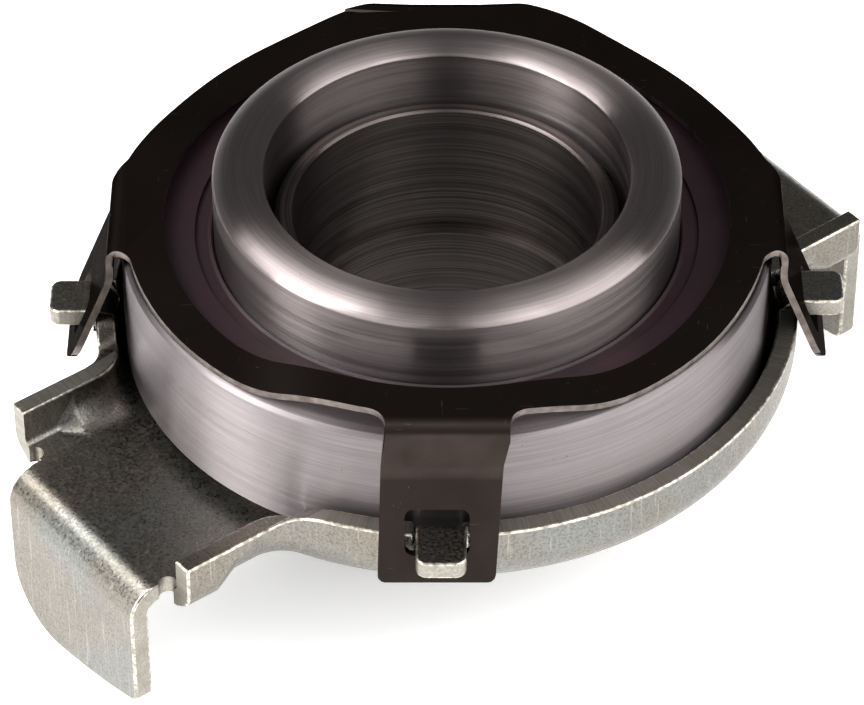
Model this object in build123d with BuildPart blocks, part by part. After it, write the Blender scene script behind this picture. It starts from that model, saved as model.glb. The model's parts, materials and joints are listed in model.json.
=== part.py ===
from build123d import *
import os
from math import cos, radians, sin

# Clutch release bearing on a pressed carrier plate.
# Millimetres, +Z towards the clutch. The origin is on the bearing axis, at the lower end
# of the guide sleeve. The four clip legs point along +X, +Y, -X and -Y, and the two fork
# wings of the carrier lie on a line turned from X by wing_azimuth.

os.makedirs("parts", exist_ok=True)

# Guide sleeve
guide_bore_radius = 16.6
lower_bore_radius = 15.6
sleeve_wall = 1.8
sleeve_shoulder = 0.6
skirt_length = 17.1
tube_length = 17.05
ledge_rise = 0.35
sleeve_chamfer = 0.5
stake_width = 1.6
stake_height = 1.1

# Seat washer, a flat ring between the carrier plate and the bearing
washer_radius = 32.8
washer_thickness = 1.9
washer_chamfer = 0.7

# Carrier plate, one pressing of one sheet
sheet = 2.15
rim_radius = 38.2
rim_height = 7.15
rim_bend = 3.9
wing_azimuth = 37.5
wing_half_width = 16.2
wing_wall_height = 4.55
wing_wall_reach = 46.0
wing_bend = 0.9
wing_root_round = 3.0
bend_change_start = 39.5
bend_change_length = 2.5
wing_trim_start = 25.0
steep_fall_width = 4.0
gentle_fall_width = 4.9
relief_radius = 1.0
relief_offset = 12.4
pad_stand = 4.45
pad_square_side = 11.95
pad_round_side = 11.05
pad_bend = 1.3
pad_tip_heights = (0.75, -0.15)
pad_edge_rises = (0.8, 4.0)
pad_edge_sag = 0.9
pad_large_corner = 7.0
pad_small_corner = 1.4

# Tabs bent out of the rim. The rises and offsets are those of the +X, +Y, -X and -Y tabs.
tab_width = 5.2
tab_length = 4.9
tab_rises = (0.8, 0.8, -0.2, 0.8)
tab_offsets = (0, 0, 0.5, -0.65)
tab_bend = 0.3
tab_corner = 1.2
slit_width = 0.25
slit_depth = 0.5

# Bearing rings
ring_radius = 35.0
ring_width = 15.35
ring_top_chamfer = 0.45
ring_bottom_chamfer = 0.7
outer_land_radius = 29.8
seal_seat_depth = 1.5
inner_land_radius = 25.0
inner_bore_radius = 19.55
inner_ring_recess = 0.7
inner_ring_chamfer = 0.6
nose_rise = 6.45
nose_bore_rise = 0.42
nose_crown = 1.1

# Balls and cage
ball_count = 15
ball_diameter = 7.938
pitch_radius = 27.4
groove_radius = 4.13
groove_clearance = 0.01
cage_inner_radius = 25.6
cage_outer_radius = 29.2
cage_base_depth = 5.1
cage_horn_height = 1.6
pocket_clearance = 0.15

# Seals
seal_recess = 0.8
seal_thickness = 1.4
seal_step_radius = 27.0
seal_step = 0.45
seal_fit = 0.02
lip_clearance = 0.08
lip_width = 0.5
lip_rise = 0.3

# Retaining clip, one piece of spring strip. The lifts are those at the +X, +Y, -X and -Y legs.
clip_thickness = 0.75
clip_inner_radius = 30.4
clip_outer_radius = 34.4
leg_lifts = (0.4, 1.2, 0.3, 2.5)
clip_left_foot = 23.0
clip_left_crest = 10.5
clip_right_foot = 20.5
clip_right_crest = 6.0
leg_width = 12.7
leg_length = 16.6
leg_root_round = 2.4
leg_stand = 1.3
leg_bend = 1.6
leg_knee_height = 7.0
leg_knee_round = 5.5
leg_corners = (4.0, 0.7, 4.0, 0.7)
leg_leans = (0, 0, 0, -0.6)
# Corners of the root's wide sides, as distances along the leg and across it
side_shoulder = ((34.6, 8.8), (30.3, 17.3), (24.7, 24.7))
back_shoulder = ((31.0, 17.4), (24.7, 24.7))
window_width = 6.7
window_height = 4.75
window_corner = 0.9

# Clearances
sleeve_hole_fit = 0.02
seat_face_clearance = 0.02
ring_seat_clearance = 0.05
clip_seat_clearance = 0.05
leg_rim_clearance = 0.1
window_tab_clearance = 0.05

# Heights and radii that follow from the pieces stacked on each other
floor_bottom = skirt_length
floor_top = floor_bottom + sheet
rim_top = floor_top + rim_height
wing_top = floor_top + wing_wall_height
seat_height = floor_top + washer_thickness
sleeve_outer_radius = guide_bore_radius + sleeve_wall
skirt_radius = sleeve_outer_radius - sleeve_shoulder
sleeve_hole_radius = skirt_radius + sleeve_hole_fit
sleeve_top = seat_height + tube_length
ledge_height = seat_height + ledge_rise
ring_bottom = seat_height + ring_seat_clearance
ring_top = ring_bottom + ring_width
ball_height = ring_bottom + ring_width / 2
ball_radius = ball_diameter / 2
rim_inner_radius = rim_radius - sheet
tab_reach = rim_radius + tab_length
pad_reach = wing_wall_reach + pad_stand
seal_seat_radius = outer_land_radius + seal_seat_depth
front_seal_bottom = ring_top - seal_recess - seal_thickness
rear_seal_top = ring_bottom + seal_recess + seal_thickness
inner_ring_bottom = ring_bottom + inner_ring_recess
nose_height = ring_top + nose_rise
leg_turns = (0, 90, 180, 270)
clip_foot = ring_top + clip_seat_clearance
leg_top_reach = ring_radius + leg_stand
window_drop = clip_foot + leg_lifts[-1] - rim_top - tab_rises[-1] + sheet + window_tab_clearance
cut_margin = 2.0


# Guide sleeve: turned tube with a shoulder. Its skirt is pushed through the washer and the
# plate and staked under the plate. The bore is stepped in at a ledge.
stake_radius = skirt_radius + stake_width
with BuildPart() as guide_sleeve:
    with BuildSketch(Plane.XZ):
        with BuildLine():
            Polyline(
                (lower_bore_radius, sleeve_chamfer),
                (lower_bore_radius + sleeve_chamfer, 0),
                (skirt_radius - sleeve_chamfer, 0),
                (skirt_radius, sleeve_chamfer),
                (skirt_radius, floor_bottom - stake_height),
                (stake_radius, floor_bottom - stake_height / 3),
                (stake_radius, floor_bottom),
                (skirt_radius, floor_bottom),
                (skirt_radius, seat_height),
                (sleeve_outer_radius, seat_height),
                (sleeve_outer_radius, sleeve_top - sleeve_chamfer),
                (sleeve_outer_radius - sleeve_chamfer, sleeve_top),
                (guide_bore_radius + sleeve_chamfer / 2, sleeve_top),
                (guide_bore_radius, sleeve_top - sleeve_chamfer / 2),
                (guide_bore_radius, ledge_height),
                (lower_bore_radius, ledge_height),
                close=True,
            )
        make_face()
    revolve(axis=Axis.Z)

# Seat washer: hardened flat ring that the bearing slides on when it centres itself
with BuildPart() as seat_washer:
    with BuildSketch(Plane.XZ):
        with BuildLine():
            Polyline(
                (sleeve_hole_radius, floor_top),
                (washer_radius - washer_chamfer, floor_top),
                (washer_radius, floor_top + washer_chamfer),
                (washer_radius, seat_height - seat_face_clearance),
                (sleeve_hole_radius, seat_height - seat_face_clearance),
                close=True,
            )
        make_face()
    revolve(axis=Axis.Z)

# Carrier plate. The wing frame has its x along the two wings.
wing_direction = Vector(cos(radians(wing_azimuth)), sin(radians(wing_azimuth)), 0)
wing_frame = Plane(origin=(0, 0, 0), x_dir=wing_direction, z_dir=(0, 0, 1))
wing_side = Plane(origin=(0, 0, 0), x_dir=wing_direction, z_dir=wing_direction.cross(Vector(0, 0, 1)))


def wing_section(distance):
    """Plane across a wing: its x runs across the wing and its y runs up."""
    across = Vector(-wing_direction.Y, wing_direction.X, 0)
    return Plane(origin=wing_direction * distance, x_dir=across, z_dir=across.cross(Vector(0, 0, 1)))


def cup_form(radius, half_width, bottom, bend, root_round):
    """Round cup with a straight channel through it, its bottom edges rounded by the bend."""
    with BuildPart() as form:
        with BuildSketch(wing_frame.offset(bottom)):
            Circle(radius)
            Rectangle(2 * bend_change_start, 2 * half_width)
            corners = vertices().filter_by(lambda v: abs(v.X) < bend_change_start - 1)
            fillet(corners, root_round)
        extrude(amount=rim_top + cut_margin - bottom)
        lowest = edges().group_by(Axis.Z)[0]
        ends = [e for e in lowest if abs(abs((e @ 0.5).dot(wing_direction)) - bend_change_start) < 0.01]
        fillet([e for e in lowest if e not in ends], bend)
    return form.part


def channel_form(half_width, bottom, start_bend, end_bend, reach):
    """Outer part of a wing channel: its bend tightens over a short length, then stays."""
    change_end = bend_change_start + bend_change_length
    with BuildPart() as form:
        for distance, bend in ((bend_change_start, start_bend), (change_end, end_bend)):
            with BuildSketch(wing_section(distance)):
                with Locations((0, (bottom + rim_top + cut_margin) / 2)):
                    Rectangle(2 * half_width, rim_top + cut_margin - bottom)
                fillet(vertices().group_by(Axis.Y)[0], bend)
        loft(ruled=True)
        extrude(faces().sort_by(Axis(origin=(0, 0, 0), direction=wing_direction))[-1], amount=reach - change_end)
    return form.part


# Outside and inside of the pressing, each as one solid
outer_cup = cup_form(rim_radius, wing_half_width, floor_bottom, rim_bend + sheet, wing_root_round)
inner_cup = cup_form(
    rim_inner_radius, wing_half_width - sheet, floor_top, rim_bend, wing_root_round + sheet
)
outer_channel = channel_form(
    wing_half_width, floor_bottom, rim_bend + sheet, wing_bend + sheet, wing_wall_reach
)
inner_channel = channel_form(
    wing_half_width - sheet, floor_top, rim_bend, wing_bend, wing_wall_reach + cut_margin
)

# One fork pad: the floor of the wing runs on as a tongue and is bent down. Its lower edge
# is a shallow arc that rises towards the squarer corner.
def fork_pad(tip_height, edge_rise):
    """Pad with its squarer corner on the side that the section's x points to."""
    with BuildPart() as pad:
        with BuildSketch(wing_side):
            with BuildLine():
                FilletPolyline(
                    (wing_wall_reach - cut_margin, floor_bottom),
                    (pad_reach - sheet, floor_bottom),
                    (pad_reach - sheet, tip_height - cut_margin),
                    radius=pad_bend,
                )
                offset(amount=sheet, side=Side.LEFT)
            make_face()
        extrude(amount=pad_square_side, both=True)
        with BuildSketch(wing_section(wing_wall_reach - cut_margin)):
            with BuildLine():
                low_side = Line((-pad_round_side, rim_top), (-pad_round_side, tip_height))
                lower_edge = SagittaArc(
                    low_side @ 1, (pad_square_side, tip_height + edge_rise), -pad_edge_sag
                )
                Polyline(lower_edge @ 1, (pad_square_side, rim_top), low_side @ 0)
            make_face()
            fillet(vertices().sort_by(Axis.Y)[0], pad_large_corner)
            fillet(vertices().filter_by(lambda v: v.X > 0).sort_by(Axis.Y)[0], pad_small_corner)
        extrude(amount=pad_reach, mode=Mode.INTERSECT)
    return pad.part


# What is trimmed off one wing: everything above its side walls, with the rim falling to
# them in an arc on the open side and more steeply on the side of the near tab.
with BuildPart() as wing_trim:
    with BuildSketch(wing_section(wing_trim_start)):
        with BuildLine():
            steep_start = (-wing_half_width - steep_fall_width, rim_top)
            steep_middle = (-wing_half_width - steep_fall_width / 2, (rim_top + wing_top) / 2)
            gentle_end = (wing_half_width + gentle_fall_width, rim_top)
            upper_half = TangentArc(steep_start, steep_middle, tangent=(1, 0))
            lower_half = TangentArc(steep_middle, (-wing_half_width, wing_top), tangent=upper_half % 1)
            floor_line = Line(lower_half @ 1, (wing_half_width, wing_top))
            TangentArc(gentle_end, floor_line @ 1, tangent=(-1, 0))
            Polyline(
                gentle_end,
                (wing_half_width + gentle_fall_width, rim_top + 2 * cut_margin),
                (-wing_half_width - steep_fall_width, rim_top + 2 * cut_margin),
                steep_start,
            )
        make_face()
    extrude(amount=pad_reach - wing_trim_start)

# Round-bottomed reliefs that keep the bend of the pad apart from the side walls
with BuildPart() as wing_reliefs:
    with BuildSketch(wing_frame.offset(floor_bottom - cut_margin)):
        with Locations((wing_wall_reach, relief_offset), (wing_wall_reach, -relief_offset)):
            Circle(relief_radius)
    extrude(amount=sheet + 2 * cut_margin)

# One tab: a tongue of the rim between two slits, bent outwards until it lies level
def tab_opening(rise, offset_along):
    """Gap in the rim from the lower end of the tab's slits up."""
    slit_bottom = rim_top + rise - sheet - slit_depth
    with BuildPart() as opening:
        with BuildSketch(Plane.XY.offset(slit_bottom)):
            with Locations((rim_radius, offset_along)):
                Rectangle(2 * (sheet + cut_margin), tab_width + 2 * slit_width)
        extrude(amount=rim_top + cut_margin - slit_bottom)
    return opening.part


def rim_tab(rise, offset_along):
    """Tab that stands out of its opening."""
    underside = rim_top + rise - sheet
    with BuildPart(Plane.XY.move(Location((0, offset_along, 0)))) as tab:
        with BuildSketch(Plane.XZ):
            with BuildLine():
                FilletPolyline(
                    (rim_radius, underside - slit_depth),
                    (rim_radius, underside),
                    (tab_reach, underside),
                    radius=tab_bend,
                )
                offset(amount=sheet, side=Side.LEFT)
            make_face()
        extrude(amount=tab_width / 2, both=True)
        fillet(edges().filter_by(Axis.Z).group_by(Axis.X)[-1], tab_corner)
    return tab.part


with BuildPart() as carrier_plate:
    add(outer_cup)
    for turn in (0, 180):
        add(outer_channel.rotate(Axis.Z, turn))
    add(inner_cup, mode=Mode.SUBTRACT)
    for turn in (0, 180):
        add(inner_channel.rotate(Axis.Z, turn), mode=Mode.SUBTRACT)
        add(wing_trim.part.rotate(Axis.Z, turn), mode=Mode.SUBTRACT)
    add(fork_pad(pad_tip_heights[0], pad_edge_rises[0]).mirror(wing_side))
    add(fork_pad(pad_tip_heights[1], pad_edge_rises[1]).rotate(Axis.Z, 180))
    add(wing_reliefs.part, mode=Mode.SUBTRACT)
    add(wing_reliefs.part.rotate(Axis.Z, 180), mode=Mode.SUBTRACT)
    with BuildSketch(Plane.XY.offset(rim_top)):
        Circle(pad_reach + cut_margin)
    extrude(amount=2 * cut_margin, mode=Mode.SUBTRACT)
    with BuildSketch(Plane.XY.offset(floor_bottom)):
        Circle(sleeve_hole_radius)
    extrude(amount=sheet, mode=Mode.SUBTRACT)
    for turn, rise, offset_along in zip(leg_turns, tab_rises, tab_offsets):
        add(tab_opening(rise, offset_along).rotate(Axis.Z, turn), mode=Mode.SUBTRACT)
        add(rim_tab(rise, offset_along).rotate(Axis.Z, turn))

# Outer ring: raceway groove in the bore, a counterbore for a seal at each end
with BuildPart() as outer_ring:
    with BuildSketch(Plane.XZ):
        with BuildLine():
            Polyline(
                (seal_seat_radius, ring_bottom),
                (ring_radius - ring_bottom_chamfer, ring_bottom),
                (ring_radius, ring_bottom + ring_bottom_chamfer),
                (ring_radius, ring_top - ring_top_chamfer),
                (ring_radius - ring_top_chamfer, ring_top),
                (seal_seat_radius, ring_top),
                (seal_seat_radius, front_seal_bottom),
                (outer_land_radius, front_seal_bottom),
                (outer_land_radius, rear_seal_top),
                (seal_seat_radius, rear_seal_top),
                close=True,
            )
        make_face()
        with Locations((pitch_radius + ball_radius + groove_clearance - groove_radius, ball_height)):
            Circle(groove_radius, mode=Mode.SUBTRACT)
    revolve(axis=Axis.Z)

# Inner ring: its nose stands proud of the outer ring and ends in a crowned face, which
# is what presses on the fingers of the clutch
with BuildPart() as inner_ring:
    with BuildSketch(Plane.XZ):
        with BuildLine():
            crown = SagittaArc(
                (inner_land_radius, nose_height),
                (inner_bore_radius, nose_height + nose_bore_rise),
                -nose_crown,
            )
            Polyline(
                crown @ 1,
                (inner_bore_radius, inner_ring_bottom + inner_ring_chamfer),
                (inner_bore_radius + inner_ring_chamfer, inner_ring_bottom),
                (inner_land_radius - inner_ring_chamfer, inner_ring_bottom),
                (inner_land_radius, inner_ring_bottom + inner_ring_chamfer),
                crown @ 0,
            )
        make_face()
        with Locations((pitch_radius - ball_radius - groove_clearance + groove_radius, ball_height)):
            Circle(groove_radius, mode=Mode.SUBTRACT)
    revolve(axis=Axis.Z)

# Balls
balls = []
for index in range(ball_count):
    turn = radians(index * 360 / ball_count)
    centre = (pitch_radius * cos(turn), pitch_radius * sin(turn), ball_height)
    with BuildPart(Plane(origin=centre)) as ball:
        Sphere(ball_radius)
    balls.append(ball.part)

# Cage: a crown whose pockets are open at the top and narrower there than a ball
pocket_radius = ball_radius + pocket_clearance
cage_bottom = ball_height - cage_base_depth
with BuildPart() as ball_cage:
    with BuildSketch(Plane.XY.offset(cage_bottom)):
        Circle(cage_outer_radius)
        Circle(cage_inner_radius, mode=Mode.SUBTRACT)
    extrude(amount=cage_base_depth + cage_horn_height)
    with Locations(Plane.XY.offset(ball_height)):
        with PolarLocations(pitch_radius, ball_count):
            Sphere(pocket_radius, mode=Mode.SUBTRACT)

# Seals: a ring pressed into the outer ring, a thinner web and a lip that runs just clear
# of the inner ring
lip_radius = inner_land_radius + lip_clearance


def seal(inside, outside):
    """Seal turned from its inside height to its outside height."""
    way = 1 if outside > inside else -1
    with BuildPart() as body:
        with BuildSketch(Plane.XZ):
            with BuildLine():
                Polyline(
                    (seal_seat_radius - seal_fit, inside),
                    (seal_seat_radius - seal_fit, outside),
                    (seal_step_radius, outside),
                    (seal_step_radius, outside - way * seal_step),
                    (lip_radius + lip_width, outside - way * seal_step),
                    (lip_radius + lip_width / 2, outside - way * (seal_step - lip_rise)),
                    (lip_radius, outside - way * seal_step),
                    (lip_radius, inside + way * seal_step),
                    (lip_radius + lip_width, inside),
                    close=True,
                )
            make_face()
        revolve(axis=Axis.Z)
    return body.part


front_seal = seal(front_seal_bottom, front_seal_bottom + seal_thickness)
rear_seal = seal(rear_seal_top, rear_seal_top - seal_thickness)

# Retaining clip. Seen from above, each quarter is a piece of a ring with one leg, whose
# root is notched in on a narrow side and runs out straight on a wide one.
def clip_outline(wide_sides, shoulder):
    """Outline of one quarter as a tall prism; a wide side is 1 or -1 across the leg."""
    with BuildPart() as outline:
        with BuildSketch(Plane.XY.offset(floor_bottom)):
            Circle(clip_outer_radius)
            with Locations((tab_reach / 2, 0)):
                Rectangle(tab_reach, leg_width)
            fillet(vertices().group_by(Axis.X)[0], leg_root_round)
            for side in wide_sides:
                with BuildLine():
                    Polyline(
                        (0, 0),
                        (leg_top_reach, side * leg_width / 2),
                        *((along, side * across) for along, across in shoulder),
                        close=True,
                    )
                make_face()
            Circle(clip_inner_radius, mode=Mode.SUBTRACT)
        extrude(amount=nose_height - floor_bottom)
    return outline.part


def clip_quarter(lift, outline):
    """Quarter of the ring. It is waved, so that it stands clear by the lift at its leg."""
    crest = clip_foot + lift
    with BuildPart() as quarter:
        with BuildSketch(Plane.YZ):
            with BuildLine():
                foot = Line((-clip_outer_radius, clip_foot), (-clip_left_foot, clip_foot))
                left_middle = (-(clip_left_foot + clip_left_crest) / 2, clip_foot + lift / 2)
                rise = TangentArc(foot @ 1, left_middle, tangent=(1, 0))
                ease = TangentArc(left_middle, (-clip_left_crest, crest), tangent=rise % 1)
                top = Line(ease @ 1, (clip_right_crest, crest))
                right_middle = ((clip_right_foot + clip_right_crest) / 2, clip_foot + lift / 2)
                fall = TangentArc(top @ 1, right_middle, tangent=(1, 0))
                flatten = TangentArc(right_middle, (clip_right_foot, clip_foot), tangent=fall % 1)
                Line(flatten @ 1, (clip_outer_radius, clip_foot))
                offset(amount=clip_thickness, side=Side.LEFT)
            make_face()
        extrude(amount=leg_top_reach - leg_bend)
        add(outline, mode=Mode.INTERSECT)
        with BuildSketch(Plane.XY.offset(clip_foot - cut_margin)):
            with BuildLine():
                Polyline((0, 0), (leg_top_reach, leg_top_reach), (leg_top_reach, -leg_top_reach), close=True)
            make_face()
        extrude(amount=lift + clip_thickness + 2 * cut_margin, mode=Mode.INTERSECT)
    return quarter.part


def clip_leg(lift, outline, corner, lean):
    """Leg that hangs from the raised strip, passes the edge of the rim and leans sideways."""
    crest = clip_foot + lift
    tip = crest - leg_length
    inner_reach = leg_top_reach - clip_thickness
    flare_slope = (rim_radius + leg_rim_clearance - inner_reach) / leg_knee_height
    window_middle = crest - window_drop + window_height / 2
    with BuildPart() as leg:
        with BuildSketch(Plane.XZ):
            with BuildLine():
                FilletPolyline(
                    (leg_top_reach - leg_bend - clip_thickness, crest),
                    (inner_reach, crest),
                    (inner_reach, rim_top + leg_knee_height),
                    (inner_reach + flare_slope * (rim_top + leg_knee_height - tip), tip),
                    radius=(leg_bend - clip_thickness, leg_knee_round),
                )
                offset(amount=clip_thickness, side=Side.LEFT)
            make_face()
        extrude(amount=leg_width, both=True)
        add(outline, mode=Mode.INTERSECT)
        with BuildSketch(Plane.YZ):
            with BuildLine():
                Polyline(
                    (-leg_width / 2, crest),
                    (-leg_width / 2 + lean, tip),
                    (leg_width / 2 + lean, tip),
                    (leg_width / 2, crest),
                    close=True,
                )
            make_face()
            fillet(vertices().group_by(Axis.Y)[0], corner)
            with Locations((0, crest)):
                Rectangle(2 * leg_width, 2 * leg_bend)
            with Locations((lean, window_middle)):
                RectangleRounded(window_width, window_height, window_corner, mode=Mode.SUBTRACT)
        extrude(amount=tab_reach, mode=Mode.INTERSECT)
    return leg.part


wide_roots = (
    ((1,), side_shoulder),
    ((1, -1), back_shoulder),
    ((-1,), side_shoulder),
    ((), side_shoulder),
)
with BuildPart() as retaining_clip:
    for turn, lift, root, corner, lean in zip(leg_turns, leg_lifts, wide_roots, leg_corners, leg_leans):
        outline = clip_outline(*root)
        add(clip_quarter(lift, outline).rotate(Axis.Z, turn))
        add(clip_leg(lift, outline, corner, lean).rotate(Axis.Z, turn))

# Every piece is written under its own name
pieces = {
    "carrier_plate": carrier_plate.part,
    "guide_sleeve": guide_sleeve.part,
    "seat_washer": seat_washer.part,
    "retaining_clip": retaining_clip.part,
    "outer_ring": outer_ring.part,
    "inner_ring": inner_ring.part,
    "ball_cage": ball_cage.part,
    "front_seal": front_seal,
    "rear_seal": rear_seal,
}
for index, piece in enumerate(balls, start=1):
    pieces[f"ball_{index:02d}"] = piece
for name, piece in pieces.items():
    piece.label = name
    export_step(piece, f"parts/{name}.step")
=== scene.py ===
# %% [markdown]
# Clutch release bearing. Everything below dresses that frame: it gives each solid its
# real finish, and it swaps the solids that show for copies with softened edges.
# %% Load the frame
import json
import math

import bmesh
import bpy
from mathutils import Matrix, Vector
from mathutils.bvhtree import BVHTree

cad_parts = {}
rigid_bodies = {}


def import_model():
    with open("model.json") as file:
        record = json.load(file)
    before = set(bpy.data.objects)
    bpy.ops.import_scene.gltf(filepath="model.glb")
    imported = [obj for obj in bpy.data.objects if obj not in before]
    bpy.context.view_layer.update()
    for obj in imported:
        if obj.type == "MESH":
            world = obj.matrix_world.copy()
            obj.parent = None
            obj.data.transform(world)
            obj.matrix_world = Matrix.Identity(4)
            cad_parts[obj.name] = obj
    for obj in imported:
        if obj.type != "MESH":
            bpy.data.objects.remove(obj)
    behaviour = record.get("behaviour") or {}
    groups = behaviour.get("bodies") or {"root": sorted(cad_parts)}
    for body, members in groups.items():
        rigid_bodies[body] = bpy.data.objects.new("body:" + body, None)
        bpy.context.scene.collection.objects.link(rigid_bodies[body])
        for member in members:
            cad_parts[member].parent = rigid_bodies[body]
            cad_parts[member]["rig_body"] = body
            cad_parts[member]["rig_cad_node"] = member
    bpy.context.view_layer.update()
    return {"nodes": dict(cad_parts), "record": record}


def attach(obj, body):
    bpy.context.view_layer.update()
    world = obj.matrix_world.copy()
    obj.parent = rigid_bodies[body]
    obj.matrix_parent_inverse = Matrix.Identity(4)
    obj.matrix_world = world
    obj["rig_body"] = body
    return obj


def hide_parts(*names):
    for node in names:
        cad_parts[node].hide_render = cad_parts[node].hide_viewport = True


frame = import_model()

MM = 0.001

# %% [markdown]
# A material is a small network of nodes. One function adds a node, sets its inputs and
# draws its links, so each network below reads from top to bottom. Colours are written as
# the hex values of a paint program, and Blender calculates with linear light, so one
# function turns the first into the second.
# %% Helpers for materials
def linear(hex_value):
    """Linear colour of an sRGB hex value."""
    parts = [int(hex_value[i : i + 2], 16) / 255 for i in (1, 3, 5)]
    bright = [p / 12.92 if p <= 0.04045 else ((p + 0.055) / 1.055) ** 2.4 for p in parts]
    return (*bright, 1.0)


def add(tree, kind, inputs=None, **settings):
    """New node. An input is either a value or the socket that feeds it."""
    node = tree.nodes.new(kind)
    for name, value in settings.items():
        setattr(node, name, value)
    for key, value in (inputs or {}).items():
        if isinstance(value, bpy.types.NodeSocket):
            tree.links.new(value, node.inputs[key])
        else:
            node.inputs[key].default_value = value
    return node


def new_material(name):
    """Empty material, and its tree and object coordinates."""
    material = bpy.data.materials.new(name)
    material.use_nodes = True
    tree = material.node_tree
    tree.nodes.clear()
    place = add(tree, "ShaderNodeTexCoord").outputs["Object"]
    return material, tree, place


def finish_material(material, shader, normal=None):
    """Links the shader to the output, with its bumps, and prints the number of nodes."""
    tree = material.node_tree
    if normal is not None:
        tree.links.new(normal, shader.inputs["Normal"])
    add(tree, "ShaderNodeOutputMaterial", {"Surface": shader.outputs[0]})
    print(material.name, len(tree.nodes), "nodes")


def ramp(tree, value, low, high, bottom=0.0, top=1.0):
    """Value stretched so that low becomes bottom and high becomes top."""
    inputs = {
        "Value": value, "From Min": low, "From Max": high, "To Min": bottom, "To Max": top,
    }
    return add(tree, "ShaderNodeMapRange", inputs).outputs[0]


def tinted(tree, factor, first, second):
    """Colour between two others, which are hex values or sockets."""
    ends = [linear(c) if isinstance(c, str) else c for c in (first, second)]
    inputs = {0: factor, 6: ends[0], 7: ends[1]}
    return add(tree, "ShaderNodeMix", inputs, data_type="RGBA").outputs[2]


print("mid grey in linear light", round(linear("#808080")[0], 3))

# %% [markdown]
# The patterns are noise of a size in millimetres. On turned and ground pieces the noise is
# drawn out round the axis: it reads the direction from the axis, the height and the distance
# from the axis, each with a scale of its own, so it follows every round face.
# %% Patterns and bumps
MICRON = 1e-6


def grain(tree, place, size_mm, detail=2.0, stretch=(1, 1, 1)):
    """Noise whose blots are about size_mm across, longer along an axis by its stretch."""
    scale = [1 / (size_mm * MM * s) for s in stretch]
    mapped = add(tree, "ShaderNodeMapping", {"Vector": place, "Scale": scale}).outputs[0]
    inputs = {"Vector": mapped, "Scale": 1.0, "Detail": detail}
    return add(tree, "ShaderNodeTexNoise", inputs).outputs["Fac"]


def from_the_axis(tree, place):
    """Distance from the Z axis, and direction away from it."""
    inputs = {0: place, 1: (1, 1, 0)}
    flat = add(tree, "ShaderNodeVectorMath", inputs, operation="MULTIPLY").outputs[0]
    reach = add(tree, "ShaderNodeVectorMath", {0: flat}, operation="LENGTH").outputs["Value"]
    around = add(tree, "ShaderNodeVectorMath", {0: flat}, operation="NORMALIZE").outputs[0]
    return reach, around


def round_the_axis(tree, place, pitch_mm, arc_mm, radius_mm):
    """Noise drawn out round the Z axis, as a tool leaves it on a turned or ground piece."""
    reach, around = from_the_axis(tree, place)
    turns = radius_mm / arc_mm
    per_pitch = 1 / (pitch_mm * MM)
    inputs = {0: around, 1: (turns, turns, 0)}
    around = add(tree, "ShaderNodeVectorMath", inputs, operation="MULTIPLY").outputs[0]
    height = add(tree, "ShaderNodeSeparateXYZ", {0: place}).outputs["Z"]
    inputs = {0: height, 1: per_pitch}
    height = add(tree, "ShaderNodeMath", inputs, operation="MULTIPLY").outputs[0]
    rise = add(tree, "ShaderNodeCombineXYZ", {"Z": height}).outputs[0]
    where = add(tree, "ShaderNodeVectorMath", {0: around, 1: rise}).outputs[0]
    inputs = {0: reach, 1: per_pitch}
    depth = add(tree, "ShaderNodeMath", inputs, operation="MULTIPLY").outputs[0]
    inputs = {"Vector": where, "W": depth, "Scale": 1.0, "Detail": 2.0}
    return add(tree, "ShaderNodeTexNoise", inputs, noise_dimensions="4D").outputs["Fac"]


def bumps(tree, layers):
    """Bumps on top of each other. A layer is its height pattern and its depth in microns."""
    normal = None
    for height, microns in layers:
        inputs = {"Height": height, "Distance": microns * MICRON, "Strength": 1.0}
        if normal is not None:
            inputs["Normal"] = normal
        normal = add(tree, "ShaderNodeBump", inputs).outputs[0]
    return normal


def tangent_round_the_axis(tree, place):
    """Direction that the grain runs in, round the Z axis."""
    inputs = {0: (0, 0, 1), 1: place}
    return add(tree, "ShaderNodeVectorMath", inputs, operation="CROSS_PRODUCT").outputs[0]


# %% [markdown]
# Zinc-plated sheet steel. The plating is thin and satin, so the steel's own grain and the
# marks of the press tool show through. It is a metal with a middling roughness, two close
# tints that drift over about a centimetre, upright streaks where the sheet was drawn, and
# dark specks. One picture element covers 0.11 mm, so the grain is drawn 0.3 mm across,
# because a finer one wouldn't show.
# %% Zinc-plated sheet
finishes = {}


def zinc_plated_sheet_steel():
    material, tree, place = new_material("zinc_plated_sheet_steel")
    cloud = grain(tree, place, 8.0, 3.0)
    tint = grain(tree, place, 14.0, 1.0)
    fine = grain(tree, place, 0.28, 3.0)
    sparkle = grain(tree, place, 0.34, 2.0)
    drawn = grain(tree, place, 0.35, 2.0, (1, 1, 22))
    dents = grain(tree, place, 2.6, 2.0)
    specks = ramp(tree, grain(tree, place, 0.45, 2.0), 0.75, 0.79)
    colour = tinted(tree, ramp(tree, tint, 0.4, 0.6), "#7d766c", "#787975")
    colour = tinted(tree, ramp(tree, cloud, 0.45, 0.7, 0.0, 0.6), colour, "#736f67")
    colour = tinted(tree, ramp(tree, fine, 0.46, 0.66, 0.0, 0.6), colour, "#4f4a45")
    colour = tinted(tree, ramp(tree, drawn, 0.6, 0.75, 0.0, 0.5), colour, "#aaa598")
    colour = tinted(tree, ramp(tree, specks, 0, 1, 0, 0.8), colour, "#37322e")
    inputs = {
        "Base Color": colour,
        "Metallic": 1.0,
        "Roughness": ramp(tree, sparkle, 0.3, 0.7, 0.24, 0.42),
    }
    shader = add(tree, "ShaderNodeBsdfPrincipled", inputs)
    layers = [(dents, 22), (sparkle, 20), (drawn, 8), (fine, 7)]
    finish_material(material, shader, bumps(tree, layers))
    return material


finishes["zinc_plated_sheet_steel"] = zinc_plated_sheet_steel()

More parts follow.
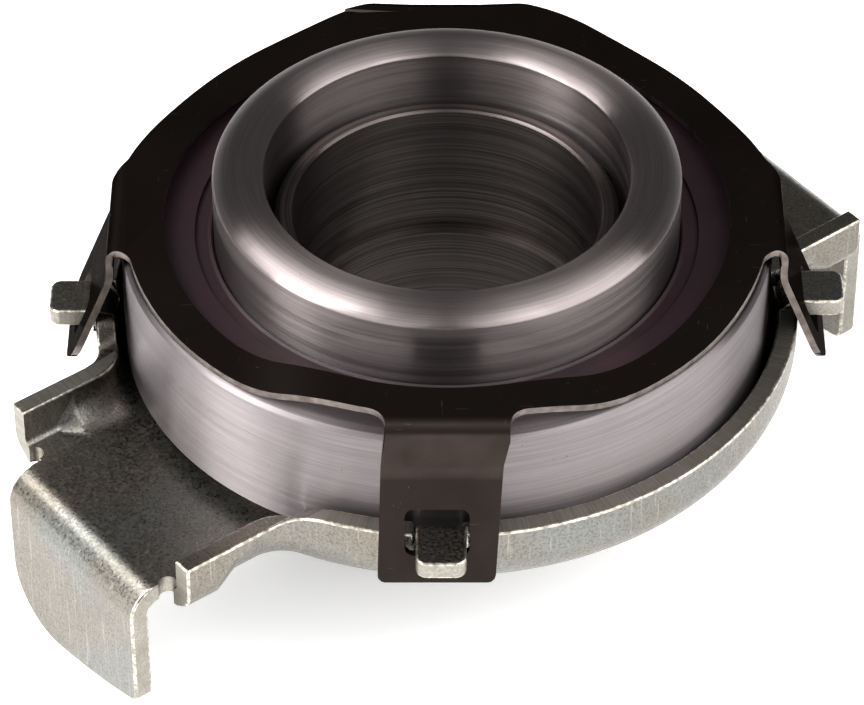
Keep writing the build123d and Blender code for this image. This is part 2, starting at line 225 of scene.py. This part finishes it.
# %% [markdown]
# The cut edge of the sheet. A punch shears the sheet through, which leaves fine grooves
# across its thickness and a surface rougher than the faces. On the rim the grooves point at
# the axis, and on the wings they lie square to the wing, so the pattern changes over where
# the rim ends. The grooves are drawn about 0.2 mm apart, because finer ones wouldn't show.
# %% Sheared edge of the sheet
WING_AZIMUTH = 37.5
RIM_ENDS = (0.0384, 0.0388)
RIM_GROOVES = 230.0  # noise on the direction only: 0.17 mm at the rim's radius of 38.2 mm


def sheared_zinc_edge():
    material, tree, place = new_material("sheared_zinc_edge")
    reach, around = from_the_axis(tree, place)
    inputs = {"Vector": around, "Scale": RIM_GROOVES, "Detail": 2.0}
    on_rim = add(tree, "ShaderNodeTexNoise", inputs).outputs["Fac"]
    inputs = {"Vector": place, "Rotation": (0, 0, math.radians(-WING_AZIMUTH))}
    turned = add(tree, "ShaderNodeMapping", inputs).outputs[0]
    on_wing = grain(tree, turned, 0.22, 2.0, (1, 20, 1.4))
    beyond = ramp(tree, reach, *RIM_ENDS)
    grooves = add(tree, "ShaderNodeMix", {0: beyond, 2: on_rim, 3: on_wing}).outputs[0]
    fine = grain(tree, place, 0.2, 3.0)
    cloud = grain(tree, place, 3.0, 2.0)
    colour = tinted(tree, ramp(tree, grooves, 0.35, 0.65), "#86827a", "#9a968d")
    colour = tinted(tree, ramp(tree, cloud, 0.45, 0.7, 0.0, 0.5), colour, "#7a7468")
    inputs = {
        "Base Color": colour,
        "Metallic": 1.0,
        "Roughness": ramp(tree, fine, 0.3, 0.7, 0.34, 0.5),
    }
    shader = add(tree, "ShaderNodeBsdfPrincipled", inputs)
    finish_material(material, shader, bumps(tree, [(grooves, 8), (fine, 8)]))
    return material


cut_finishes_and_highlights = {"carrier_plate": [sheared_zinc_edge()]}

# %% [markdown]
# A sheared edge ends in a burr, a ragged hair of metal. Along each edge of the sheet runs a thin
# line that is painted brighter than the faces: a painted highlight where the rounded edge catches
# the light, ragged like the burr.
# %% Painted highlight along the sheet's edges
def burr_with_painted_highlight(name, bright, dull, roughness):
    """Ragged line that changes between two tones: a painted edge highlight."""
    material, tree, place = new_material(name)
    ragged = grain(tree, place, 0.5, 3.0)
    colour = tinted(tree, ramp(tree, ragged, 0.4, 0.6), dull, bright)
    inputs = {"Base Color": colour, "Metallic": 1.0, "Roughness": roughness}
    shader = add(tree, "ShaderNodeBsdfPrincipled", inputs)
    finish_material(material, shader, bumps(tree, [(ragged, 45)]))
    return material


# The carrier's rounded edges get the painted highlight.
carrier_painted_edge_highlight = burr_with_painted_highlight("burr_with_painted_highlight", "#c9c4b7", "#8a857b", roughness=0.3)
cut_finishes_and_highlights["carrier_plate"].append(carrier_painted_edge_highlight)

# %% [markdown]
# Blackened spring steel. The strip is oil-blackened after hardening: a dark brown-black
# skin that reflects like a metal, with hair scratches where it was handled. Seen at a low
# angle a bare metal turns into a mirror, and this oiled skin doesn't, which a dark specular
# tint gives. The scratches are drawn 0.22 mm wide, because hair scratches wouldn't show. The
# strip's cut edges are rubbed a little lighter.
# %% Blackened spring strip
def blackened_spring_steel():
    material, tree, place = new_material("blackened_spring_steel")
    cloud = grain(tree, place, 7.0, 3.0)
    fine = grain(tree, place, 0.2, 2.0)
    scratch = ramp(tree, grain(tree, place, 0.22, 1.0, (13, 1, 1)), 0.76, 0.8)
    scratch_b = ramp(tree, grain(tree, place, 0.22, 1.0, (1, 11, 4)), 0.77, 0.81)
    colour = tinted(tree, ramp(tree, cloud, 0.35, 0.65), "#3a322f", "#2f2926")
    colour = tinted(tree, ramp(tree, scratch, 0, 1, 0, 0.35), colour, "#8b8078")
    colour = tinted(tree, ramp(tree, scratch_b, 0, 1, 0, 0.3), colour, "#8b8078")
    inputs = {
        "Base Color": colour,
        "Metallic": 1.0,
        "Roughness": ramp(tree, cloud, 0.3, 0.7, 0.32, 0.42),
        "Specular Tint": (0.12, 0.11, 0.1, 1.0),
    }
    shader = add(tree, "ShaderNodeBsdfPrincipled", inputs)
    finish_material(material, shader, bumps(tree, [(cloud, 25), (fine, 3)]))
    return material


def rubbed_spring_edge():
    material, tree, place = new_material("rubbed_spring_edge")
    wear = grain(tree, place, 1.2, 3.0)
    colour = tinted(tree, ramp(tree, wear, 0.3, 0.7), "#544c48", "#776e69")
    inputs = {"Base Color": colour, "Metallic": 1.0, "Roughness": 0.38}
    shader = add(tree, "ShaderNodeBsdfPrincipled", inputs)
    finish_material(material, shader, bumps(tree, [(wear, 12)]))
    return material


finishes["blackened_spring_steel"] = blackened_spring_steel()
cut_finishes_and_highlights["retaining_clip"] = [
    rubbed_spring_edge(),
    # The clip's rounded corners get a painted highlight, brighter than the strip.
    burr_with_painted_highlight("clip_corner_painted_highlight", "#8d857f", "#5d5651", roughness=0.36),
]

# %% [markdown]
# Ground and turned steel. A wheel or a tool that runs round the piece leaves hair-fine
# grooves round the axis. They spread a highlight across themselves, so the shader is
# anisotropic. Its tangent runs along the grooves, and a quarter turn of the anisotropy lays
# the spread across them. The grooves are drawn 0.12 to 0.25 mm apart, one or two picture
# elements, because finer ones wouldn't show.
# %% Steels with a grain round the axis
TYPICAL_RADIUS_MM = 30.0
QUARTER_TURN = 0.25


def steel_round_the_axis(
    name, bright, dull, roughness, anisotropy, pitch_mm, arc_mm, microns, speck_share=0.0
):
    """Metal with grooves round the axis, pitch_mm apart and about arc_mm long."""
    material, tree, place = new_material(name)
    lines = round_the_axis(tree, place, pitch_mm, arc_mm, TYPICAL_RADIUS_MM)
    coarse = round_the_axis(tree, place, pitch_mm * 6, 3 * arc_mm, TYPICAL_RADIUS_MM)
    stain = grain(tree, place, 5.0, 3.0)
    colour = tinted(tree, ramp(tree, lines, 0.35, 0.65), bright, dull)
    colour = tinted(tree, ramp(tree, stain, 0.5, 0.75, 0.0, 0.25), colour, dull)
    if speck_share:
        specks = ramp(tree, grain(tree, place, 0.5, 2.0), 0.76, 0.79, 0.0, speck_share)
        colour = tinted(tree, specks, colour, "#2a2422")
    inputs = {
        "Base Color": colour,
        "Metallic": 1.0,
        "Roughness": ramp(tree, coarse, 0.3, 0.7, roughness - 0.05, roughness + 0.05),
        "Anisotropic": anisotropy,
        "Anisotropic Rotation": QUARTER_TURN,
        "Tangent": tangent_round_the_axis(tree, place),
    }
    shader = add(tree, "ShaderNodeBsdfPrincipled", inputs)
    finish_material(material, shader, bumps(tree, [(coarse, microns * 2), (lines, microns)]))
    return material


finishes["ground_bearing_steel"] = steel_round_the_axis(
    "ground_bearing_steel", "#878081", "#787172", roughness=0.42, anisotropy=0.97,
    pitch_mm=0.12, arc_mm=9.0, microns=1.0, speck_share=0.9,
)
finishes["ground_nose_steel"] = steel_round_the_axis(
    "ground_nose_steel", "#8f8685", "#807776", roughness=0.33, anisotropy=0.95,
    pitch_mm=0.14, arc_mm=16.0, microns=0.7, speck_share=0.6,
)
finishes["oiled_turned_steel"] = steel_round_the_axis(
    "oiled_turned_steel", "#6c6562", "#47413f", roughness=0.34, anisotropy=0.8,
    pitch_mm=0.18, arc_mm=50.0, microns=3.5,
)
finishes["hardened_washer_steel"] = steel_round_the_axis(
    "hardened_washer_steel", "#8c8782", "#777069", roughness=0.35, anisotropy=0.3,
    pitch_mm=0.25, arc_mm=20.0, microns=3.0,
)

# %% [markdown]
# The seal's rubber is nitrile with carbon and iron oxide in it: a very dark purple-brown,
# with the satin skin that a polished mould leaves. The ball cage is natural glass-filled
# nylon, cream and matt. The balls are lapped bearing steel, nearly a mirror.
# %% Rubber, plastic and polished balls
def moulded_seal_rubber():
    material, tree, place = new_material("moulded_seal_rubber")
    skin = grain(tree, place, 0.3, 2.0)
    cloud = grain(tree, place, 5.0, 2.0)
    colour = tinted(tree, ramp(tree, cloud, 0.3, 0.7), "#26141a", "#1c0e13")
    roughness = ramp(tree, cloud, 0.3, 0.7, 0.42, 0.54)
    inputs = {"Base Color": colour, "Roughness": roughness, "IOR": 1.42}
    shader = add(tree, "ShaderNodeBsdfPrincipled", inputs)
    finish_material(material, shader, bumps(tree, [(skin, 4)]))
    return material


def filled_nylon():
    material, tree, place = new_material("filled_nylon")
    skin = grain(tree, place, 0.4, 2.0)
    colour = tinted(tree, skin, "#cbbfa2", "#d8cfb6")
    inputs = {"Base Color": colour, "Roughness": 0.5, "IOR": 1.53}
    shader = add(tree, "ShaderNodeBsdfPrincipled", inputs)
    finish_material(material, shader, bumps(tree, [(skin, 5)]))
    return material


def polished_ball_steel():
    material, tree, place = new_material("polished_ball_steel")
    haze = grain(tree, place, 1.5, 2.0)
    colour = tinted(tree, haze, "#d0cecb", "#c2c0be")
    roughness = ramp(tree, haze, 0.3, 0.7, 0.05, 0.09)
    inputs = {"Base Color": colour, "Metallic": 1.0, "Roughness": roughness}
    finish_material(material, add(tree, "ShaderNodeBsdfPrincipled", inputs))
    return material


finishes["moulded_seal_rubber"] = moulded_seal_rubber()
finishes["filled_nylon"] = filled_nylon()
finishes["polished_ball_steel"] = polished_ball_steel()

# %% [markdown]
# The record says which finish each solid has, and the finishes are kept under the same
# names. Pieces of one material so share one network, and a change to it reaches them all.
# %% Every solid gets the finish that the record names for it
slots = {row["node"]: row["material_slot"] for row in frame["record"]["subparts"]}
for name, node in frame["nodes"].items():
    node.data.materials.clear()
    node.data.materials.append(finishes[slots[name]])
print("finishes", len(finishes), "on solids", len(slots))

# %% [markdown]
# Which faces of a sheet did the punch cut? Behind a rolled face the metal is one sheet
# thick, and behind a cut face it is deeper. So a ray goes into each face from three places,
# and the least depth decides. On the clip's thin strip between the legs the waves mislead
# the rays, and there a face is cut where it stands upright.
# %% Find the cut faces of a sheet
TOWARD_CORNER = 0.6
RAY_START = 1e-5
STRIP_FLOOR = 36.2
LEG_REGION = 7.5
UPRIGHT = 0.5
# The third finish of a sheet is the painted highlight on its bevelled edges.
CUT_FACE, PAINTED_EDGE_HIGHLIGHT, SAME_AS_FACES = 1, 2, -1


def metal_behind(surface, triangle):
    """Least depth of metal behind three places on a triangle."""
    normal = triangle[0].face.normal
    corners = [corner.vert.co for corner in triangle]
    middle = sum(corners, Vector()) / 3
    depths = []
    for corner in corners:
        place = middle.lerp(corner, TOWARD_CORNER)
        hit = surface.ray_cast(place - normal * RAY_START, -normal, 1.0)
        depths.append(hit[3] if hit[0] is not None else 1.0)
    return min(depths)


def mark_cut_faces(piece, sheet_mm, deep):
    """Gives the cut faces the second finish. Deep is the depth in sheets that tells."""
    shape = bmesh.new()
    shape.from_mesh(piece.data)
    surface = BVHTree.FromBMesh(shape)
    largest = {}
    for triangle in shape.calc_loop_triangles():
        a, b, c = (corner.vert.co for corner in triangle)
        area = (b - a).cross(c - a).length
        face = triangle[0].face
        if area > largest.get(face.index, (0, None))[0]:
            largest[face.index] = (area, triangle)
    count = 0
    for index, (_, triangle) in largest.items():
        x, y, z = triangle[0].vert.co / MM
        if z > STRIP_FLOOR and min(abs(x), abs(y)) > LEG_REGION:
            cut = abs(triangle[0].face.normal.z) < UPRIGHT
        else:
            cut = metal_behind(surface, triangle) > deep * sheet_mm * MM
        if cut:
            piece.data.polygons[index].material_index = CUT_FACE
            count += 1
    shape.free()
    print(piece.name, "cut faces", count)


print("on the strip, cut if steeper than", round(math.degrees(math.acos(UPRIGHT))), "degrees")

# %% [markdown]
# A bevel needs room. Beside the bends of the fork pads the carrier has small round relief
# cuts, and a full bevel would run into itself there, so those edges stay as they are.
# %% Choose the edges that get a full bevel
SHARP_FROM = math.radians(32)
RELIEF_REACH = 46.0
RELIEF_OFFSET = 12.4
RELIEF_CLEARANCE = 2.0


def relief_centres():
    """Places of the four relief cuts, seen from above, in millimetres."""
    turn = math.radians(WING_AZIMUTH)
    along = Vector((math.cos(turn), math.sin(turn)))
    across = Vector((-along.y, along.x))
    return [
        side * (along * RELIEF_REACH + across * hand * RELIEF_OFFSET)
        for side in (-1, 1) for hand in (-1, 1)
    ]


def weigh_edges(piece):
    """Full bevel on sharp edges, none beside the relief cuts."""
    centres = relief_centres()
    shape = bmesh.new()
    shape.from_mesh(piece.data)
    weight = shape.edges.layers.float.new("bevel_weight_edge")
    for edge in shape.edges:
        middle = ((edge.verts[0].co + edge.verts[1].co) / 2 / MM).xy
        roomy = all((middle - centre).length >= RELIEF_CLEARANCE for centre in centres)
        if edge.is_manifold and edge.calc_face_angle() > SHARP_FROM and roomy:
            edge[weight] = 1.0
    shape.to_mesh(piece.data)
    shape.free()


print("relief cuts", [(round(centre.x, 1), round(centre.y, 1)) for centre in relief_centres()])

# %% [markdown]
# A real edge is never perfectly sharp. Each solid that shows is copied, its loose triangles
# are merged, and a narrow bevel rounds each sharp edge, so that the edges catch the light.
# The copy stands in for its solid and rides on the same body. A shape of the real piece
# that the solid lacks is given to the copy before its edges are rounded.
# %% Make a copy with soft edges
MERGE_DISTANCE = 2e-6
FLAT_ENOUGH = math.radians(0.4)
SMOOTH_BELOW = math.radians(28)


def merged_copy(node_name):
    """Copy of a node with its triangles merged, linked to the scene and active."""
    source = frame["nodes"][node_name]
    piece = source.copy()
    piece.data = source.data.copy()
    piece.name = node_name + "_finished"
    piece.parent = None
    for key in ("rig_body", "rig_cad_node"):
        del piece[key]
    bpy.context.scene.collection.objects.link(piece)
    bpy.ops.object.select_all(action="DESELECT")
    piece.select_set(True)
    bpy.context.view_layer.objects.active = piece
    bpy.ops.object.mode_set(mode="EDIT")
    bpy.ops.mesh.select_all(action="SELECT")
    bpy.ops.mesh.remove_doubles(threshold=MERGE_DISTANCE)
    bpy.ops.mesh.dissolve_limited(angle_limit=FLAT_ENOUGH)
    bpy.ops.mesh.customdata_custom_splitnormals_clear()
    bpy.ops.object.mode_set(mode="OBJECT")
    return piece


def round_edges(piece, edge_mm, segments, roomy, finish):
    """Bevels the sharp edges, either to full width or as far as there is room."""
    bevel = piece.modifiers.new("rounded edges", "BEVEL")
    bevel.width = edge_mm * MM
    bevel.segments = segments
    bevel.limit_method = "ANGLE"
    bevel.angle_limit = SHARP_FROM
    if roomy:
        weigh_edges(piece)
        bevel.limit_method = "WEIGHT"
    bevel.use_clamp_overlap = not roomy
    bevel.material = finish
    bpy.ops.object.modifier_apply(modifier=bevel.name)


def softened_copy(
    node_name, body, edge_mm, segments=2, sheet_mm=None, deep=1.35, shaping=None, roomy=False
):
    """Copy with soft edges that stands for a node. A sheet gets its cut faces marked."""
    piece = merged_copy(node_name)
    if shaping:
        shaping(piece)
    if sheet_mm:
        for finish in cut_finishes_and_highlights[node_name]:
            piece.data.materials.append(finish)
        mark_cut_faces(piece, sheet_mm, deep)
    if edge_mm:
        round_edges(piece, edge_mm, segments, roomy, PAINTED_EDGE_HIGHLIGHT if sheet_mm else SAME_AS_FACES)
    bpy.ops.object.shade_smooth_by_angle(angle=SMOOTH_BELOW)
    weighted = piece.modifiers.new("flat faces stay flat", "WEIGHTED_NORMAL")
    weighted.keep_sharp = True
    bpy.ops.object.modifier_apply(modifier=weighted.name)
    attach(piece, body)
    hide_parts(node_name)
    print(piece.name, len(piece.data.polygons), "faces")


print("edges count as sharp from", round(math.degrees(SHARP_FROM)), "degrees")

# %% [markdown]
# Hand-bent pieces are never quite true. On the real carrier the front tab and the left one
# stand a little to one side, as their slits do. Their points are picked by place.
# %% Tabs that stand to one side
TAB_HALF_WIDTH = 2.61
TAB_ROOT = 35.9
FRONT_TAB_FLOOR = 22
LEFT_TAB_FLOOR = 21
FRONT_TAB_SHIFT = -0.65
LEFT_TAB_SHIFT = -0.5


def shift_tabs(piece):
    """Moves the front tab along X and the left one along Y."""
    count = 0
    for vertex in piece.data.vertices:
        x, y, z = vertex.co / MM
        if abs(x) < TAB_HALF_WIDTH and y < -TAB_ROOT and z > FRONT_TAB_FLOOR:
            vertex.co.x += FRONT_TAB_SHIFT * MM
            count += 1
        elif abs(y) < TAB_HALF_WIDTH and x < -TAB_ROOT and z > LEFT_TAB_FLOOR:
            vertex.co.y += LEFT_TAB_SHIFT * MM
            count += 1
    print("tab points moved", count)


# %% [markdown]
# A punch blanks the clip, and its outline is one curve at the back, where the solid has
# straight runs. The copy's outer edges there are cut finer, and their points are moved out
# from the straight runs onto a smooth curve through the same corners.
# %% Smooth outline of the clip's back half
OUTLINE = ((14.27, 35.70), (29.7, 34.89), (45.0, 34.93), (60.7, 35.55), (80.1, 36.85))
OUTLINE_FLOOR = 36.0
OUTLINE_SLACK = 0.1
LONG_EDGE = 1.2


def chord_reach(degrees):
    """Reach of the solid's outline, which runs straight from corner to corner."""
    for (a, near), (b, far) in zip(OUTLINE, OUTLINE[1:]):
        if a <= degrees <= b:
            a, b, t = math.radians(a), math.radians(b), math.radians(degrees)
            return near * far * math.sin(b - a) / (near * math.sin(t - a) + far * math.sin(b - t))
    return None


def smooth_reach(degrees):
    """Reach of the smooth outline: a cubic from corner to corner."""
    slopes = []
    for i in range(len(OUTLINE)):
        before, after = OUTLINE[max(i - 1, 0)], OUTLINE[min(i + 1, len(OUTLINE) - 1)]
        slopes.append((after[1] - before[1]) / (after[0] - before[0]))
    for i in range(len(OUTLINE) - 1):
        (a, near), (b, far) = OUTLINE[i], OUTLINE[i + 1]
        if a <= degrees <= b:
            w = b - a
            t = (degrees - a) / w
            return (
                near * (2 * t**3 - 3 * t**2 + 1) + slopes[i] * w * (t**3 - 2 * t**2 + t)
                + far * (3 * t**2 - 2 * t**3) + slopes[i + 1] * w * (t**3 - t**2)
            )
    return None


def on_outline(point):
    """Angle of a point on the back half's outer edge, or None."""
    x, y, z = point / MM
    if y <= 0 or z < OUTLINE_FLOOR:
        return None
    degrees = math.degrees(math.atan2(y, abs(x)))
    reach = chord_reach(degrees)
    return degrees if reach and abs(math.hypot(x, y) - reach) < OUTLINE_SLACK else None


def smooth_outline(piece):
    """Cuts the long outer edges of the back half finer and moves them onto the curve."""
    bpy.ops.object.mode_set(mode="EDIT")
    bpy.ops.mesh.select_all(action="DESELECT")
    bpy.ops.mesh.select_mode(type="EDGE")
    bpy.ops.object.mode_set(mode="OBJECT")
    points = piece.data.vertices
    for edge in piece.data.edges:
        ends = [points[i].co for i in edge.vertices]
        is_long = (ends[0] - ends[1]).length > LONG_EDGE * MM
        edge.select = is_long and all(on_outline(end) is not None for end in ends)
    bpy.ops.object.mode_set(mode="EDIT")
    bpy.ops.mesh.subdivide(number_cuts=3)
    bpy.ops.object.mode_set(mode="OBJECT")
    moved = 0
    for vertex in piece.data.vertices:
        degrees = on_outline(vertex.co)
        if degrees is not None:
            scale = smooth_reach(degrees) * MM / math.hypot(vertex.co.x, vertex.co.y)
            vertex.co.x *= scale
            vertex.co.y *= scale
            moved += 1
    print("outline points moved", moved)


standing_out = max(smooth_reach(d) - chord_reach(d) for d in range(15, 81))
print("the curve stands out by up to", round(standing_out, 2), "mm")

# %% [markdown]
# The clip's front leg hangs a little askew. It leans to the left on its way down, its window
# leans less than its sides, and its foot reaches lower than the solid's. The first numbers
# say, in millimetres, which points belong to the leg, its bend, its window and its foot.
# %% Front leg that hangs askew
LEG_BACK, LEG_HALF_WIDTH, LEG_TOP = -34.0, 7.5, 36.9
BEND_LEAN, BEND_HEIGHT = 0.42, 1.4
DROP_LEAN, DROP_TOP, DROP_HEIGHT = 0.42, 35.5, 13.0
WINDOW_MIDDLE, WINDOW_HALF_WIDTH, WINDOW_SPAN = -0.6, 3.4, (24.9, 29.8)
WINDOW_LEAN = 0.46
FOOT_TOP, FOOT_DROP = 23.4, 0.6
LEG_RUN, LEG_FALL = 3.9, 9.93
LEG_SLOPE = math.atan(LEG_RUN / LEG_FALL)


def part_way(value):
    """Value kept between 0 and 1."""
    return min(max(value, 0.0), 1.0)


def hang_front_leg(piece):
    """Leans the front leg to the left and draws its foot down along the slope."""
    for vertex in piece.data.vertices:
        x, y, z = vertex.co / MM
        if y < LEG_BACK and abs(x) < LEG_HALF_WIDTH and z < LEG_TOP:
            beside_window = abs(x - WINDOW_MIDDLE) < WINDOW_HALF_WIDTH
            if beside_window and WINDOW_SPAN[0] < z < WINDOW_SPAN[1]:
                lean = WINDOW_LEAN
            else:
                lean = part_way((LEG_TOP - z) / BEND_HEIGHT) * BEND_LEAN
                lean += part_way((DROP_TOP - z) / DROP_HEIGHT) * DROP_LEAN
            vertex.co.x -= lean * MM
            if z < FOOT_TOP:
                vertex.co.y -= FOOT_DROP * math.sin(LEG_SLOPE) * MM
                vertex.co.z -= FOOT_DROP * math.cos(LEG_SLOPE) * MM


print("the leg slopes by", round(math.degrees(LEG_SLOPE), 1), "degrees")

# %% [markdown]
# The foot's two corners are round. Bisect cuts each corner three times, at tangents to a
# small circle, and fills the cut. Only the leg's own faces are selected for it.
# %% Round corners on the front leg's foot
CORNER_RADIUS = 0.9
CORNER_CUTS = (18, 45, 72)
FOOT_FRONT = -38.5
CUT_BACK, CUT_TOP, CUT_HALF_WIDTH = -35.5, 33.6, 8.5


def select_leg_faces(piece):
    """Selects the faces of the front leg and nothing else."""
    bpy.ops.object.mode_set(mode="EDIT")
    bpy.ops.mesh.select_mode(type="FACE")
    bpy.ops.mesh.select_all(action="DESELECT")
    bpy.ops.object.mode_set(mode="OBJECT")
    for face in piece.data.polygons:
        places = [piece.data.vertices[i].co / MM for i in face.vertices]
        face.select = all(
            p.y < CUT_BACK and p.z < CUT_TOP and abs(p.x) < CUT_HALF_WIDTH for p in places
        )


def round_foot(piece):
    """Cuts both corners of the foot round."""
    places = [vertex.co / MM for vertex in piece.data.vertices]
    foot = [p for p in places if p.y < FOOT_FRONT and p.z < FOOT_TOP]
    low = min(foot, key=lambda p: p.z)
    down = Vector((0, -math.sin(LEG_SLOPE), -math.cos(LEG_SLOPE)))
    for side in (-1, 1):
        edge_x = max(p.x * side for p in foot) * side
        centre = Vector((edge_x - side * CORNER_RADIUS, low.y, low.z)) - down * CORNER_RADIUS
        for degrees in CORNER_CUTS:
            turn = math.radians(degrees)
            normal = Vector((side * math.cos(turn), 0, 0)) + down * math.sin(turn)
            select_leg_faces(piece)
            bpy.ops.object.mode_set(mode="EDIT")
            bpy.ops.mesh.bisect(
                plane_co=(centre + normal * CORNER_RADIUS) * MM, plane_no=normal,
                use_fill=True, clear_outer=True, threshold=1e-7,
            )
            bpy.ops.object.mode_set(mode="OBJECT")
    print("lowest point of the foot", [round(c, 2) for c in low])


def shape_clip(piece):
    """Everything that the clip's solid lacks."""
    smooth_outline(piece)
    hang_front_leg(piece)
    round_foot(piece)


print("cuts for each corner", len(CORNER_CUTS))

# %% [markdown]
# Now the copies are made. The carrier is thick and has the roundest edges. The clip is thin,
# and its edges are only broken. The turned sleeve's edges are chamfered in the solid.
# %% Copies that stand for the solids
softened_copy(
    "carrier_plate", "carrier", 0.28, segments=3, sheet_mm=2.15, shaping=shift_tabs, roomy=True
)
softened_copy("retaining_clip", "carrier", 0.08, sheet_mm=0.75, deep=1.12, shaping=shape_clip)
softened_copy("guide_sleeve", "carrier", 0.0)
softened_copy("outer_ring", "bearing_outer", 0.12)
softened_copy("inner_ring", "bearing_inner", 0.12)
softened_copy("front_seal", "bearing_outer", 0.12)

# %% [markdown]
# The floor is plain and pale. It glows a little, and the glow is weakest within 15 mm of the
# axis: a painted shadow under the part, where the part shades the real floor. The glow is full
# from 55 mm outwards.
# %% Floor
FLOOR_SIZE = 6.0
PAINTED_SHADOW_ENDS = (0.015, 0.055)
GLOW_AND_PAINTED_SHADOW = (0.35, 0.68)
bpy.ops.object.select_all(action="DESELECT")
bpy.ops.mesh.primitive_plane_add(size=FLOOR_SIZE, location=(0, 0, 0))
floor = bpy.context.object
floor.name = "studio_floor"
floor_material, floor_tree, floor_place = new_material("pale_floor_painted_shadow")
floor_inputs = {0: floor_place}
floor_length = add(floor_tree, "ShaderNodeVectorMath", floor_inputs, operation="LENGTH")
floor_reach = floor_length.outputs["Value"]
# Painted shadow: the floor's glow drops towards the axis, under the part.
floor_glow_and_painted_shadow = ramp(floor_tree, floor_reach, *PAINTED_SHADOW_ENDS, *GLOW_AND_PAINTED_SHADOW)
floor_inputs = {
    "Base Color": linear("#f4f4f4"),
    "Roughness": 0.9,
    "Emission Color": (1, 1, 1, 1),
    "Emission Strength": floor_glow_and_painted_shadow,
}
floor_shader = add(floor_tree, "ShaderNodeBsdfPrincipled", floor_inputs)
finish_material(floor_material, floor_shader)
floor.data.materials.append(floor_material)
print("floor", floor.name)

# %% [markdown]
# Five soft boxes stand close to the part, three on its left and two on its right, and none
# hangs above. The sky is dim. Steel shows what stands round it, so the boxes' edges are the
# edges of the highlights, and the dark gap between left and right makes it look like steel.
# A box has an azimuth and an elevation in degrees, a distance, a width and a height in
# metres, and a radiance.
# %% Light
AIM = Vector((0, 0, 0.02))
SKY = 0.15
BOXES = (
    ("box_left_hot", 202, 36, 0.34, 0.13, 0.46, 8.5),
    ("box_left_low", 170, 46, 0.34, 0.16, 0.14, 7.0),
    ("box_left_soft", 235, 36, 0.34, 0.235, 0.46, 1.35),
    ("box_right_hot", -20, 36, 0.36, 0.34, 0.46, 3.2),
    ("box_right_soft", -60, 36, 0.36, 0.19, 0.46, 1.8),
)


def soft_box(name, azimuth, elevation, distance, width, height, radiance):
    """Area light that faces the object; its power follows from its radiance and area."""
    bpy.ops.object.light_add(type="AREA")
    box = bpy.context.object
    box.name = name
    turn, tilt = math.radians(azimuth), math.radians(elevation)
    level = math.cos(tilt)
    toward = Vector((level * math.cos(turn), level * math.sin(turn), math.sin(tilt)))
    box.location = toward * distance + AIM
    box.rotation_euler = toward.to_track_quat("Z", "Y").to_euler()
    box.data.shape = "RECTANGLE"
    box.data.size = width
    box.data.size_y = height
    box.data.energy = radiance * math.pi * width * height
    print(name, "at", azimuth, "degrees,", round(box.data.energy, 2), "W")


for row in BOXES:
    soft_box(*row)

world = bpy.data.worlds.new("dim_studio")
bpy.context.scene.world = world
world.use_nodes = True
sky = world.node_tree.nodes["Background"].inputs
sky["Color"].default_value = (1, 1, 1, 1)
sky["Strength"].default_value = SKY

# %% [markdown]
# The camera stands where the photographer's did: about half a metre off, 42 degrees above
# the floor, with a long lens, which was worked out from the round edges in the photograph.
# %% Camera
CAMERA_ELEVATION = 41.858
bpy.ops.object.camera_add(
    location=(-0.00158097, -0.36895087, 0.347971),
    rotation=(math.radians(90 - CAMERA_ELEVATION), 0, 0),
)
camera = bpy.context.object
camera.name = "photo_camera"
camera.data.sensor_width = 36.0
camera.data.lens = 187.5
camera.data.clip_start = 0.05
bpy.context.scene.camera = camera
bpy.context.scene.view_settings.view_transform = "Standard"
print("camera", camera.name, camera.data.lens, "mm")
